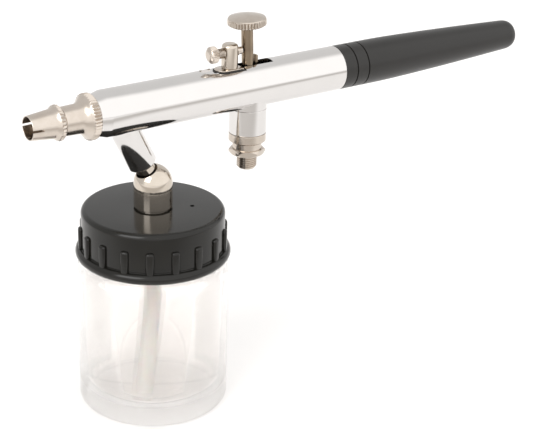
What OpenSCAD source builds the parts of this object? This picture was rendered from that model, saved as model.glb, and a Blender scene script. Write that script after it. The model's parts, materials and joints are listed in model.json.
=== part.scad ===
// Siphon-feed double-action airbrush on a ball-jointed glass jar.
// Origin: centre of the jar's underside. +Z: the jar's axis. The gun lies along X at gun_z, nozzle at -X.

/* [Jar] */
// Outer radius of the glass
jar_r = 18.4; // [17:0.1:20]
// Wall thickness of the glass
jar_wall = 2.0; // [1.6:0.1:2.4]
// Thickness of the glass floor
jar_floor = 3.6; // [2.5:0.1:4.5]
// Height of the shoulder, where the neck starts
shoulder_z = 37.9; // [34:0.1:37.9]
// Outer radius of the neck
neck_r = 15.9; // [15.4:0.1:16]

/* [Cap] */
// Height of the cap's rim above the table
cap_z = 38.36; // [38.3:0.02:38.6]
// Height of the cap's top face above the table
cap_top_z = 50.77; // [50:0.01:52]
// Outer radius of the cap's skirt
cap_r = 17.4; // [17.3:0.05:17.6]
// Number of grip ribs round the cap
rib_count = 18; // [12:1:30]
// Angle of the first rib from the +X side
rib_turn = 16.4; // [0:0.1:30]

/* [Ball joint] */
// Height of the ball's centre
ball_z = 57; // [56.5:0.1:58]
// Radius of the ball
ball_r = 3.6; // [3.4:0.05:3.65]
// Angle between the hollow pin and the jar's axis
pin_tilt = 27.4; // [24:0.1:30]
// Radius of the hollow pin
pin_r = 2.3; // [2.1:0.05:2.35]

/* [Gun] */
// Height of the gun's axis
gun_z = 76.9; // [76:0.1:78]
// Outer radius of the body
body_r = 5.6; // [5.5:0.05:5.7]
// Radius of the needle
needle_r = 0.6; // [0.5:0.05:0.7]
// Place of the air valve along the gun
valve_x = 27; // [26.5:0.1:27.5]
// Radius of the trigger's stem
stem_r = 1.45; // [1.3:0.05:1.5]
// Length of the handle
handle_len = 59.45; // [50:0.05:62]

/* [Hidden] */
$fn = 64;
// Clearance between parts that are screwed or pushed together
fit_gap = 0.02;
// Clearance between parts that run on each other
run_gap = 0.05;
mouth_x = -32.5;
ring_front_x = -25.8;
ring_back_x = -24.7;
cap_back_x = -24.3;
head_back_x = -16.3;
nose_x = -16.2;
body_end_x = 53.05;
spigot_end_x = 56.8;
case_end_x = 66;
handle_end_x = body_end_x + handle_len;
neck_top_z = cap_top_z - 2.6;
liner_top_z = cap_top_z - 1.6;
socket_r = 4.7;
stem_gap = 6;
inlet_len = (gun_z - ball_z) / cos(pin_tilt);
land_x = 17;
land_z = 81.75;
plate_h = 0.5;
run_out_x = 13.1;
slot_front_x = 24.4;
slot_back_x = 32.6;
slot_half = 1.56;
casing_low_z = 64.93;
saddle_z = 71.4;
stud_low_z = 55.5;
trigger_pivot_z = 73;
trigger_lean = 2.5;
trigger_x = valve_x + 0.05;
button_z = 92.05;
post_x = 21.4;
screw_z = 86.1;
guide_x = 35;
lever_x = 36.2;
lever_z = 79;

// Points along an arc, for outlines that are turned
function arc(cx, cy, r, from, to, steps = 8) =
    [for (i = [0:steps]) let (a = from + (to - from) * i / steps) [cx + r * cos(a), cy + r * sin(a)]];

// A shape turned about the gun's axis from an outline of [radius, x] points
module turned(outline) {
    translate([0, 0, gun_z])
        rotate([0, 90, 0])
            rotate_extrude()
                polygon(outline);
}

// A round bar along the gun's axis, from x1 to x2
module bar_x(x1, x2, r, z = gun_z, y = 0) {
    translate([x1, y, z])
        rotate([0, 90, 0])
            cylinder(r = r, h = x2 - x1);
}

// A tube along the gun's axis
module tube_x(x1, x2, r_out, r_in) {
    difference() {
        bar_x(x1, x2, r_out);
        bar_x(x1 - 1, x2 + 1, r_in);
    }
}

// Puts its children on the ball's centre with +Z along the hollow pin
module on_pin() {
    translate([0, 0, ball_z])
        rotate([0, -pin_tilt, 0])
            children();
}

// Puts its children on the trigger's pivot with +Z along the trigger's stem
module on_trigger() {
    translate([trigger_x, 0, trigger_pivot_z])
        rotate([0, -trigger_lean, 0])
            children();
}

// A ring or tube on a vertical axis
module ring_z(r_out, r_in, z1, z2, x = 0) {
    translate([x, 0, z1])
        difference() {
            cylinder(r = r_out, h = z2 - z1);
            translate([0, 0, -1])
                cylinder(r = r_in, h = z2 - z1 + 2);
        }
}

// A helical wire of round section, made of short straight links with ball ends
module coil(r, wire_r, length, turns) {
    steps = 14 * turns;
    rise = length / steps;
    for (i = [0:steps - 1])
        hull() {
            for (k = [i, i + 1])
                rotate([0, 0, 360 * k * turns / steps])
                    translate([r, 0, rise * k])
                        sphere(r = wire_r, $fn = 8);
        }
}

// Glass jar with a thick floor, a short shoulder and a neck
module jar() {
    heel = 1.6;
    shoulder = 1.2;
    corner = 4.5;
    inner_r = jar_r - jar_wall;
    mouth_r = neck_r - 1.6;
    color([0.9, 0.93, 0.93, 0.4])
        rotate_extrude($fn = 96)
            polygon(concat(
                [[0, 0]],
                arc(jar_r - heel, heel, heel, -90, 0),
                arc(jar_r - shoulder, shoulder_z - shoulder, shoulder, 0, 90),
                [[neck_r, shoulder_z], [neck_r, neck_top_z], [mouth_r, neck_top_z],
                 [mouth_r, shoulder_z - 1.4], [inner_r, shoulder_z - 4.4]],
                arc(inner_r - corner, jar_floor + corner, corner, 0, -90),
                [[0, jar_floor]]));
}

// Ribbed screw cap with a rolled rim and a breather hole
module jar_cap() {
    bead_r = 1.35;
    rim_r = 18.85;
    edge = 1.25;
    rib_r = 1.05;
    bore_r = neck_r + 0.4;
    color([0.16, 0.16, 0.15]) {
        difference() {
            union() {
                rotate_extrude($fn = 96)
                    polygon(concat(
                        [[bore_r, cap_z], [rim_r - bead_r, cap_z]],
                        arc(rim_r - bead_r, cap_z + bead_r, bead_r, -90, 60),
                        [[cap_r, cap_z + 2 * bead_r]],
                        arc(cap_r - edge, cap_top_z - edge, edge, 0, 90),
                        [[0, cap_top_z], [0, liner_top_z], [bore_r, liner_top_z]]));
                for (i = [0:rib_count - 1])
                    rotate([0, 0, rib_turn + 360 * i / rib_count])
                        translate([cap_r - 0.3, 0, cap_z + 2.2])
                            cylinder(r = rib_r, h = 5.8);
            }
            cylinder(r = 3.55, h = 100);
            translate([8.2, -4.6, 0])
                cylinder(r = 0.55, h = 100);
        }
    }
}

// Soft sealing disc in the cap
module cap_liner() {
    color([0.92, 0.91, 0.88])
        difference() {
            translate([0, 0, neck_top_z])
                cylinder(r = neck_r + 0.3, h = liner_top_z - neck_top_z);
            cylinder(r = 3.6, h = 100);
            translate([8.2, -4.6, 0])
                cylinder(r = 0.55, h = 100);
        }
}

// Lower half of the ball socket: a threaded shank through the cap
module socket_base() {
    color([0.88, 0.85, 0.8])
        difference() {
            union() {
                translate([0, 0, 44.9])
                    cylinder(r = 3.5, h = cap_top_z - 44.9);
                translate([0, 0, cap_top_z])
                    cylinder(r = 4.25, h = 0.4);
                translate([0, 0, cap_top_z + 0.35])
                    cylinder(r = socket_r, h = 55.66 - cap_top_z - 0.35);
            }
            translate([0, 0, 44])
                cylinder(r = 2.1 + fit_gap, h = 5.5);
            cylinder(r = 1.5, h = 60);
            translate([0, 0, 52.6])
                cylinder(r = 3.35, h = 4);
            translate([0, 0, 54.4])
                cylinder(r = 4.12 + fit_gap, h = 4);
        }
}

// Plastic seat under the ball
module ball_seat() {
    color([0.95, 0.94, 0.9])
        difference() {
            translate([0, 0, 52.6])
                cylinder(r = 3.33, h = 1.9);
            cylinder(r = 2.3, h = 60);
            translate([0, 0, ball_z])
                sphere(r = ball_r + run_gap);
        }
}

// Domed upper half of the socket, with a leaning hole for the pin
module socket_dome() {
    hole_r = pin_r + 0.45;
    color([0.88, 0.85, 0.8])
        difference() {
            union() {
                intersection() {
                    translate([0, 0, ball_z])
                        sphere(r = socket_r);
                    translate([0, 0, ball_z - 0.5])
                        cylinder(r = 6, h = 10);
                }
                translate([0, 0, 55.7])
                    cylinder(r = socket_r, h = ball_z - 55.7);
                translate([0, 0, 54.42])
                    cylinder(r = 4.12, h = 1.4);
            }
            translate([0, 0, ball_z])
                sphere(r = ball_r + run_gap);
            cylinder(r = 3.4, h = 55.9);
            on_pin()
                cylinder(r = hole_r, h = 10);
        }
}

// Hexagon nut that clamps the socket and the liner to the cap
module socket_nut() {
    color([0.85, 0.83, 0.78])
        difference() {
            translate([0, 0, 45.7])
                cylinder(r = 5.4, h = neck_top_z - 45.75, $fn = 6);
            cylinder(r = 3.52, h = 60);
        }
}

// Soft plastic dip tube, bent towards the foot of the jar
module siphon_tube() {
    tube_r = 2.1;
    bore_r = 1.3;
    straight_z = 36;
    bend_r = 45;
    sweep = 24;
    tail = 14;
    color([0.95, 0.95, 0.93, 0.7])
        rotate([0, 0, 51]) {
            ring_z(tube_r, bore_r, straight_z, 49.4);
            translate([-bend_r, 0, straight_z])
                rotate([90, 0, 0])
                    rotate([0, 0, -sweep])
                        rotate_extrude(angle = sweep)
                            translate([bend_r, 0])
                                difference() {
                                    circle(r = tube_r);
                                    circle(r = bore_r);
                                }
            translate([-bend_r, 0, straight_z])
                rotate([0, sweep, 0])
                    translate([bend_r, 0, 0])
                        ring_z(tube_r, bore_r, -tail, 0);
        }
}

// Hollow pin with the ball at its foot: paint rises through it
module siphon_pin() {
    plug_r = 1.9;
    pin_end = 9;
    color([0.85, 0.82, 0.76])
        difference() {
            union() {
                translate([0, 0, ball_z])
                    sphere(r = ball_r);
                on_pin()
                    cylinder(r = pin_r, h = pin_end);
                on_pin()
                    cylinder(r = plug_r, h = inlet_len - 8.6);
            }
            on_pin()
                translate([0, 0, -5])
                    cylinder(r = 1.1, h = 30);
        }
}

// Chrome inlet sleeve that the pin plugs into
module siphon_stem() {
    chamfer = 0.5;
    r = 3.5;
    color([0.9, 0.9, 0.9])
        difference() {
            on_pin()
                rotate_extrude()
                    polygon([[0, stem_gap], [r - chamfer, stem_gap], [r, stem_gap + chamfer],
                             [r, inlet_len - 1], [0, inlet_len - 1]]);
            on_pin()
                translate([0, 0, stem_gap - 1])
                    cylinder(r = pin_r + run_gap, h = 4.2);
            on_pin()
                translate([0, 0, stem_gap])
                    cylinder(r = 1.9 + run_gap, h = inlet_len - 12.2);
            on_pin()
                cylinder(r = 1, h = inlet_len + 2);
            bar_x(-40, 40, body_r + fit_gap);
        }
}

// Chrome body: needle bore, air channel, trigger slot and the saddle of the air valve
module body_shell() {
    color([0.9, 0.9, 0.9])
        difference() {
            union() {
                turned([[0, -18], [4.2, -18], [4.2, nose_x], [4.95, nose_x], [body_r, -13.7],
                        [body_r, body_end_x], [4.7, body_end_x], [4.7, spigot_end_x],
                        [0, spigot_end_x]]);
                translate([valve_x, 0, saddle_z])
                    cylinder(r = 4.63, h = gun_z - saddle_z);
            }
            bar_x(-19, -12.5, 1.3);
            bar_x(-13, 1, 1);
            bar_x(0, slot_back_x + 1, 2);
            bar_x(slot_back_x, 60, 4.05);
            bar_x(-19, valve_x, 0.6, gun_z, 3.2);
            translate([slot_front_x, -slot_half, saddle_z + 1.5])
                cube([slot_back_x - slot_front_x + 0.5, 2 * slot_half, 20]);
            translate([valve_x, 0, saddle_z - 1])
                cylinder(r = 3, h = 2.6);
            translate([land_x, -4, land_z])
                cube([slot_front_x - land_x + 0.2, 8, 4]);
            translate([run_out_x + 1.9, 0, land_z])
                cylinder(r = 1.9, h = 4);
            translate([run_out_x + 1.9, -1.9, land_z])
                cube([land_x - run_out_x - 1.8, 3.8, 4]);
            on_pin()
                cylinder(r = 1, h = inlet_len);
        }
}

// Soft packing ring round the needle
module packing_ring() {
    color([0.95, 0.95, 0.95])
        tube_x(0.1, 2.4, 1.96, needle_r + run_gap);
}

// Hollow screw that presses the packing ring
module packing_screw() {
    color([0.8, 0.65, 0.3])
        difference() {
            tube_x(2.45, 8, 1.96, needle_r + 0.25);
            translate([7.2, -0.3, gun_z - 3])
                cube([2, 0.6, 6]);
        }
}

// Thin seal behind the nozzle's flange
module nozzle_seal() {
    color([0.95, 0.95, 0.9])
        tube_x(-18.35, -18.02, 2.2, 1.32);
}

// Fine conical fluid nozzle with a hexagon flange
module fluid_nozzle() {
    color([0.85, 0.7, 0.35])
        difference() {
            union() {
                turned([[0, -27.2], [0.5, -27.2], [1.5, -20.2], [1.5, -19.4], [2.2, -19.4],
                        [2.2, -18.37], [1.28, -18.37], [1.28, -12.9], [0, -12.9]]);
            }
            turned([[0, -28], [0.3, -28], [0.3, -27], [0.9, -20], [0.9, -12], [0, -12]]);
        }
}

// Nozzle cap: knurled rim at the back, flared shoulder, air orifice in front
module head_cap() {
    rim_r = 5.5;
    color([0.9, 0.86, 0.8])
        difference() {
            turned(concat(
                [[0, -26.9], [2.7, -26.9], [2.88, -26.6], [2.88, cap_back_x], [3.44, cap_back_x + 0.1],
                 [3.55, -20.3]],
                [for (t = [1:6]) [3.55 + 1.45 * pow(t / 6, 2), -20.3 + 2 * t / 6]],
                [[rim_r, -18.2], [rim_r, head_back_x], [0, head_back_x]]));
            bar_x(-18.3, -16, 4.2 + fit_gap);
            turned([[0, -20.6], [2.9, -20.6], [3.7, -18.2], [0, -18.2]]);
            turned([[0, -26.2], [1.2, -26.2], [2.2, -24.4], [2.6, -20.4], [0, -20.4]]);
            bar_x(-28, -26, 0.85);
        }
}

// Needle cap: a thin split crown round the needle's tip
module needle_cap() {
    color([0.9, 0.86, 0.8])
        difference() {
            turned(concat(
                [[0, mouth_x], [2.84, mouth_x], [3.45, -26.9]],
                [for (t = [1:5]) [3.45 + 0.62 * pow(t / 5, 1.5), -26.9 + 1.1 * t / 5]],
                [[4.2, ring_front_x + 0.1], [4.2, ring_back_x], [3.7, cap_back_x - 0.05],
                 [0, cap_back_x - 0.05]]));
            turned([[0, mouth_x - 1], [2.58, mouth_x - 1], [2.58, mouth_x], [2.7, -28], [2.3, -27.2],
                    [2.3, -27.05], [0, -27.05]]);
            bar_x(-27.1, -24, 2.9);
            translate([mouth_x - 1, -5, gun_z - 0.28])
                cube([3.6, 10, 0.56]);
        }
}

// Chrome casing of the air valve
module valve_casing() {
    color([0.9, 0.9, 0.9])
        difference() {
            union() {
                translate([valve_x, 0, casing_low_z])
                    cylinder(r = 4.63, h = saddle_z - fit_gap - casing_low_z);
                translate([valve_x, 0, saddle_z - 1])
                    cylinder(r = 2.98, h = 2.4);
            }
            translate([valve_x, 0, 60])
                cylinder(r = 2.6, h = 10.4);
            translate([valve_x, 0, 60])
                cylinder(r = 1.5, h = 20);
            translate([valve_x, 0, 71.6])
                cylinder(r = 2, h = 5);
        }
}

// Hose adapter: round collar, waist, hexagon and the hose stud
module hose_adapter() {
    color([0.88, 0.85, 0.8])
        difference() {
            translate([valve_x, 0, 0])
                union() {
                    rotate_extrude()
                        polygon([[0, 60.6], [3.6, 60.6], [3.6, 62.3], [4.1, 62.66], [4.63, 63.2],
                                 [4.63, casing_low_z - fit_gap], [2.58, casing_low_z - fit_gap],
                                 [2.58, 65.8], [0, 65.8]]);
                    intersection() {
                        translate([0, 0, 59.3])
                            cylinder(r = 4.62, h = 1.4, $fn = 6);
                        translate([0, 0, 59.3])
                            cylinder(r = 4.5, h = 1.4);
                    }
                    translate([0, 0, stud_low_z])
                        cylinder(r = 2.5, h = 4);
                }
            translate([valve_x, 0, 50])
                cylinder(r = 1, h = 14);
            translate([valve_x, 0, 62.5])
                cylinder(r = 1.7, h = 6);
        }
}

// Return spring of the air valve
module valve_spring() {
    color([0.75, 0.75, 0.75])
        translate([valve_x, 0, 62.8])
            coil(1.3, 0.18, 4.6, 5);
}

// Ring seal that the plunger's head closes against
module valve_seal() {
    color([0.1, 0.1, 0.1])
        ring_z(2.55, 1.3, 69.2, 70.3, valve_x);
}

// Plunger of the air valve: the trigger's foot stands on it
module valve_plunger() {
    color([0.85, 0.82, 0.78]) {
        translate([valve_x, 0, 67.6])
            cylinder(r = 2.2, h = 1.4);
        translate([valve_x, 0, 67.6])
            cylinder(r = 1.2, h = 4.3);
    }
}

// Trigger stem with a flat, slotted foot that straddles the needle
module trigger() {
    foot_r = 1.0;
    foot_half = 0.95;
    color([0.72, 0.64, 0.55])
        difference() {
            on_trigger() {
                translate([0, 0, 2])
                    cylinder(r = stem_r, h = button_z - trigger_pivot_z - 2 - fit_gap);
                translate([-foot_r, -foot_half, 0])
                    cube([2 * foot_r, 2 * foot_half, 3]);
                rotate([90, 0, 0])
                    translate([0, 0, -foot_half])
                        cylinder(r = foot_r, h = 2 * foot_half);
            }
            on_trigger()
                translate([-3, -0.8, 2.2])
                    cube([6, 1.6, 5]);
        }
}

// Domed finger button with a knurled rim
module trigger_button() {
    rim = 4.7;
    rim_h = 1.9;
    dome_r = 14;
    color([0.9, 0.86, 0.8])
        on_trigger()
            translate([0, 0, button_z - trigger_pivot_z])
                intersection() {
                    cylinder(r = rim, h = 5);
                    translate([0, 0, rim_h + sqrt(dome_r * dome_r - rim * rim) * -1])
                        sphere(r = dome_r, $fn = 128);
                }
}

// Flat plate in the body's milled land that carries the limiter's post
module saddle_plate() {
    half = 2.15;
    front = land_x + 0.4 + half;
    color([0.72, 0.66, 0.58])
        translate([0, 0, land_z + fit_gap]) {
            translate([front, 0, 0])
                cylinder(r = half, h = plate_h);
            translate([front, -half, 0])
                cube([slot_front_x - 0.2 - front, 2 * half, plate_h]);
        }
}

// Upright post that carries the limiter screw
module limiter_post() {
    r = 2;
    crown = 0.9;
    top = 88.3;
    foot_z = land_z + plate_h + 2 * fit_gap;
    color([0.85, 0.78, 0.7])
        difference() {
            translate([post_x, 0, 0])
                rotate_extrude()
                    polygon(concat([[0, foot_z], [r, foot_z], [r, top - crown]],
                        arc(r - crown, top - crown, crown, 0, 90), [[0, top]]));
            bar_x(18, 25, 1.2 + run_gap, screw_z);
        }
}

// Screw whose tip stops the trigger's stem
module limiter_screw() {
    color([0.88, 0.85, 0.8])
        translate([0, 0, screw_z])
            rotate([0, 90, 0])
                rotate_extrude()
                    polygon([[0, 15.1], [1.1, 15.2], [1.75, 15.6], [2.05, 16], [2.05, 17.2], [1.85, 17.4],
                             [1.2, 17.4], [1.2, 23.6], [0.9, 23.8], [0.9, 24.75], [0, 24.75]]);
}

// Long needle from the nozzle to the handle's tail
module needle() {
    tip_x = -29.6;
    color([0.85, 0.85, 0.85])
        turned([[0, tip_x], [0.05, tip_x], [0.25, -26.5], [needle_r, -21], [needle_r, 98], [0, 98]]);
}

// Sliding guide tube that the spring pushes forward
module needle_guide() {
    color([0.85, 0.85, 0.85])
        difference() {
            union() {
                bar_x(guide_x, guide_x + 4, 4.05 - run_gap);
                bar_x(guide_x + 4, 71, 1.7);
                bar_x(71, 73.6, 2.3);
            }
            bar_x(guide_x - 1, 80, needle_r + 0.03);
            translate([guide_x - 1, -0.8, gun_z + 0.7])
                cube([3.6, 1.6, 6]);
            translate([lever_x, 3, lever_z])
                rotate([90, 0, 0])
                    cylinder(r = 0.5 + fit_gap, h = 6);
        }
}

// Nut that clamps the needle in the guide
module chuck_nut() {
    color([0.85, 0.82, 0.78])
        difference() {
            turned([[0, 70.2], [2.6, 70.2], [3.1, 70.7], [3.1, 76.4], [2.6, 77], [0, 77]]);
            bar_x(70, 73.7, 2.32);
            bar_x(60, 80, needle_r + 0.03);
        }
}

// Lever behind the trigger, hung on the guide
module back_lever() {
    half = 0.55;
    tip_r = 0.4;
    tip_z = 84;
    front = 28.5;
    eye_r = 1.05;
    color([0.72, 0.64, 0.55])
        translate([0, half, 0])
            rotate([90, 0, 0])
                linear_extrude(height = 2 * half)
                    difference() {
                        union() {
                            polygon([[front, 79.5], [31, 78.4], [lever_x, lever_z - eye_r],
                                     [lever_x, lever_z + eye_r], [31.4, 80.15], [29.7, 80.2],
                                     [front + 2 * tip_r, 82], [front + 2 * tip_r, tip_z],
                                     [front, tip_z]]);
                            translate([front + tip_r, tip_z])
                                circle(r = tip_r);
                            translate([lever_x, lever_z])
                                circle(r = eye_r);
                        }
                        translate([lever_x, lever_z])
                            circle(r = 0.5 + run_gap);
                    }
}

// Pivot pin of the lever, fixed across the guide's slot
module lever_pin() {
    color([0.8, 0.8, 0.8])
        translate([lever_x, 1.9, lever_z])
            rotate([90, 0, 0])
                cylinder(r = 0.5, h = 3.8);
}

// Needle return spring
module needle_spring() {
    color([0.75, 0.75, 0.75])
        translate([guide_x + 4.2, 0, gun_z])
            rotate([0, 90, 0])
                coil(2.35, 0.3, 24.4, 9);
}

// Spring case screwed into the body's tail
module spring_case() {
    color([0.85, 0.82, 0.78])
        difference() {
            union() {
                bar_x(47, 57, 4.03);
                bar_x(57, case_end_x, 3.9);
            }
            bar_x(46, 64.2, 3.2);
            bar_x(60, 70, 1.7 + run_gap);
        }
}

// Tapered hollow handle, screwed over the spring case, with two grip grooves
module handle() {
    front_x = body_end_x + 0.05;
    r0 = body_r - 0.05;
    r1 = 3.9;
    tip_len = 3.5;
    tip_fall = 1.6;
    taper_x = 66;
    taper_len = handle_end_x - tip_len - taper_x;
    groove = 0.3;
    color([0.24, 0.24, 0.22])
        difference() {
            turned(concat(
                [[0, front_x], [r0 - 0.1, front_x], [r0, front_x + 0.1]],
                [for (x = [56.4, 60]) each [[r0, x], [r0 - groove, x + 0.05],
                    [r0 - groove, x + 0.3], [r0, x + 0.35]]],
                [[r0, taper_x]],
                [for (i = [1:10]) let (t = i / 10)
                    [r0 - (r0 - r1) * pow(t, 1.35), taper_x + taper_len * t]],
                [for (i = [1:8]) let (a = 90 * i / 8)
                    [r1 - tip_fall * (1 - cos(a)), handle_end_x - tip_len * (1 - sin(a))]],
                [[0, handle_end_x]]));
            bar_x(front_x - 1, spigot_end_x + 0.4, 4.7 + run_gap);
            bar_x(spigot_end_x, 82, 4.15);
            bar_x(80, 105, 3);
        }
}

jar();
jar_cap();
cap_liner();
socket_base();
socket_dome();
ball_seat();
socket_nut();
siphon_tube();
siphon_pin();
siphon_stem();
body_shell();
packing_ring();
packing_screw();
nozzle_seal();
fluid_nozzle();
head_cap();
needle_cap();
valve_casing();
hose_adapter();
valve_spring();
valve_seal();
valve_plunger();
trigger();
trigger_button();
saddle_plate();
limiter_post();
limiter_screw();
needle();
needle_guide();
chuck_nut();
back_lever();
lever_pin();
needle_spring();
spring_case();
handle();
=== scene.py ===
# %% [markdown]
# # An airbrush on its glass jar
#
# A siphon-feed, double-action airbrush: a slim chrome body that points its nozzle to the left, a
# black handle, a domed finger button, an air valve underneath, and a glass jar with a black screw
# cap. The jar hangs on a ball joint, so paint rises through a tube and a hollow pin into the body.
#
# This lesson builds every visible piece with the tools a modeller uses by hand, on top of the CAD
# frame, which already gives each place and size. The frame comes in first. It is in metres, with
# the origin under the middle of the jar, +Z up and the handle along +X. Small parts are easier to
# think of in millimetres, so each piece is modelled in millimetres and scaled down at the end.

# %% Load the frame
import json
from math import atan2, cos, degrees, hypot, pi, radians, sin, sqrt
import bpy
from mathutils import Matrix, Vector


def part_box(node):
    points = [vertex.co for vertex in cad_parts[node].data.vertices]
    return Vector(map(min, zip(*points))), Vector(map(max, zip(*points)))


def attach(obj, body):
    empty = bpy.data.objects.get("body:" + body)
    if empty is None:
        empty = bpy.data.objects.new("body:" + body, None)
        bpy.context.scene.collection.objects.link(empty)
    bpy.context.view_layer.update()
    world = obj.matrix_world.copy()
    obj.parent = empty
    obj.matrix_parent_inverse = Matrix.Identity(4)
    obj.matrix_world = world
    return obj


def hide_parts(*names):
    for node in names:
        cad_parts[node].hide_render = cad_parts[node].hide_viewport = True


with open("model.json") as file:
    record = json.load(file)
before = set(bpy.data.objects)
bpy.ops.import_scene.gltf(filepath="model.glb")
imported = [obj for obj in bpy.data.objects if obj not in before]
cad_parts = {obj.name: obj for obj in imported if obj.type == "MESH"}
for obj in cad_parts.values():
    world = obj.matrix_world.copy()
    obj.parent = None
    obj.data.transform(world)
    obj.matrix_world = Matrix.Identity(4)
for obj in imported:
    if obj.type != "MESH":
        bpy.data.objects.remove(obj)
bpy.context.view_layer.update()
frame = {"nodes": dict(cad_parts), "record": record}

MM = 0.001


def span(node_name):
    """Lowest and highest corner of a CAD node, in millimetres."""
    low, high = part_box(node_name)
    return [v / MM for v in low], [v / MM for v in high]


case_low, case_high = span("spring_case")
gun_z = (case_low[2] + case_high[2]) / 2
valve_low, valve_high = span("valve_casing")
valve_x = (valve_low[0] + valve_high[0]) / 2
joints = {j["name"]: j for j in frame["record"]["behaviour"]["joints"]}
ball_z = joints["jar_tilt"]["pos_m"][2] / MM
pin_axis = joints["gun_swivel"]["axis"]
pin_tilt = atan2(-pin_axis[0], pin_axis[2])
trigger_at = [v / MM for v in joints["trigger_pull"]["pos_m"]]
print("gun axis at", round(gun_z, 2), "mm, valve at", round(valve_x, 2), "mm")
print("pin leans by", round(degrees(pin_tilt), 1), "degrees")

# %% [markdown]
# ## The camera
#
# The camera looks down on the airbrush from the front left, from about 40 cm away with a long lens
# of 106 mm, so the parallel edges of the jar stay almost parallel. It leans a little, by under two
# degrees. A camera looks along its own -Z, so its three axes are built as vectors: back towards the
# eye, right, and up, and then the small lean turns right and up about the line of sight.

# %% Place the camera
turn, height, lean = radians(-35.559), radians(23.524), radians(1.70)
aim = Vector((33.713, 0, 40.984)) * MM
distance, lens_length = 400.25 * MM, 106.08135
back = Vector((sin(turn) * cos(height), -cos(turn) * cos(height), sin(height)))
right = Vector((0, 0, 1)).cross(back).normalized()
up = back.cross(right)
leaned_right = right * cos(lean) + up * sin(lean)
leaned_up = up * cos(lean) - right * sin(lean)
eye = aim + back * distance
lens_data = bpy.data.cameras.new("camera")
lens_data.sensor_width = 36
lens_data.lens = lens_length
lens_data.clip_start = 0.01
camera = bpy.data.objects.new("camera", lens_data)
bpy.context.scene.collection.objects.link(camera)
axes = Matrix((leaned_right, leaned_up, back)).transposed()
camera.matrix_world = Matrix.Translation(eye) @ axes.to_4x4()
bpy.context.scene.camera = camera
print("camera at", [round(v, 4) for v in eye])

# %% [markdown]
# ## Tools for modelling
#
# Most of this object was made on a lathe, so the main tool is a lathe too: an outline is drawn point
# by point and spun round an axis. A plane squeezed to one point is a handy way to begin, because
# each new point can then be extruded from the last. Everything is deselected first, as an operator
# works on all that is selected.


# %% Draw and spin
def begin(name, first):
    """A new object of one point, left in edit mode with that point selected."""
    bpy.ops.object.select_all(action="DESELECT")
    bpy.ops.mesh.primitive_plane_add(size=1, location=(0, 0, 0))
    piece = bpy.context.object
    piece.name = name
    bpy.ops.object.mode_set(mode="EDIT")
    bpy.ops.mesh.select_mode(type="VERT")
    bpy.ops.mesh.select_all(action="SELECT")
    bpy.ops.mesh.merge(type="CENTER")
    bpy.ops.transform.translate(value=first)
    return piece


def draw(points):
    """Extrudes the selected point along a list of places."""
    for last, new in zip(points, points[1:]):
        step = [b - a for a, b in zip(last, new)]
        bpy.ops.mesh.extrude_vertices_move(TRANSFORM_OT_translate={"value": step})


def tidy_mesh():
    """Merges doubled points and makes all faces look outwards."""
    bpy.ops.mesh.select_all(action="SELECT")
    bpy.ops.mesh.remove_doubles(threshold=0.0005)
    bpy.ops.mesh.normals_make_consistent(inside=False)
    bpy.ops.object.mode_set(mode="OBJECT")


def spun(name, outline, steps=96):
    """Spins an outline of (radius, height) points once round Z."""
    points = [(r, 0, z) for r, z in outline]
    piece = begin(name, points[0])
    draw(points)
    bpy.ops.mesh.select_all(action="SELECT")
    bpy.ops.mesh.spin(steps=steps, angle=2 * pi, center=(0, 0, 0), axis=(0, 0, 1))
    tidy_mesh()
    return piece


def arc(middle_r, middle_z, radius, start, end, steps=6):
    """Points on an arc, in degrees from the +radius side, for use in an outline."""
    angles = [radians(start + (end - start) * i / steps) for i in range(steps + 1)]
    return [(middle_r + radius * cos(a), middle_z + radius * sin(a)) for a in angles]


# %% [markdown]
# Flat parts, such as a lever, are drawn as a closed outline, filled and given a thickness by an
# extrude. Holes and slots are cut with a boolean modifier, which is then applied, and a narrow
# bevel takes the sharpness off the edges: no real edge is perfectly sharp, and it is the small
# bright line along an edge that makes metal look solid.


# %% Plates, cuts and bevels
def plate(name, outline, low_y, high_y):
    """A flat part with an outline of (x, z) points, from low_y to high_y."""
    points = [(x, low_y, z) for x, z in outline]
    piece = begin(name, points[0])
    draw(points)
    bpy.ops.mesh.select_all(action="SELECT")
    bpy.ops.mesh.edge_face_add()
    bpy.ops.mesh.extrude_region_move(TRANSFORM_OT_translate={"value": (0, high_y - low_y, 0)})
    tidy_mesh()
    return piece


def block(low, high):
    """A box between two corners, to cut with or to add."""
    bpy.ops.object.select_all(action="DESELECT")
    middle = [(a + b) / 2 for a, b in zip(low, high)]
    bpy.ops.mesh.primitive_cube_add(size=1, location=middle)
    bpy.ops.transform.resize(value=[b - a for a, b in zip(low, high)])
    bpy.ops.object.transform_apply(location=True, rotation=True, scale=True)
    return bpy.context.object


def rod(radius, low, high, sides=64):
    """A round bar along Z between two points, to cut with or to add."""
    bpy.ops.object.select_all(action="DESELECT")
    length = (Vector(high) - Vector(low)).length
    middle = (Vector(low) + Vector(high)) / 2
    bpy.ops.mesh.primitive_cylinder_add(vertices=sides, radius=radius, depth=length, location=middle)
    bar = bpy.context.object
    bar.rotation_mode = "QUATERNION"
    bar.rotation_quaternion = (Vector(high) - Vector(low)).to_track_quat("Z", "Y")
    bpy.ops.object.transform_apply(location=True, rotation=True, scale=True)
    return bar


def choose(piece):
    """Makes one object the only selected and the active one."""
    bpy.ops.object.select_all(action="DESELECT")
    piece.select_set(True)
    bpy.context.view_layer.objects.active = piece


def combine(piece, tool, operation="DIFFERENCE"):
    """Cuts, joins or intersects a piece with a tool, which is then thrown away."""
    choose(piece)
    bpy.ops.object.modifier_add(type="BOOLEAN")
    change = piece.modifiers[-1]
    change.object = tool
    change.operation = operation
    change.solver = "EXACT"
    bpy.ops.object.modifier_apply(modifier=change.name)
    bpy.data.objects.remove(tool, do_unlink=True)


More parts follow.
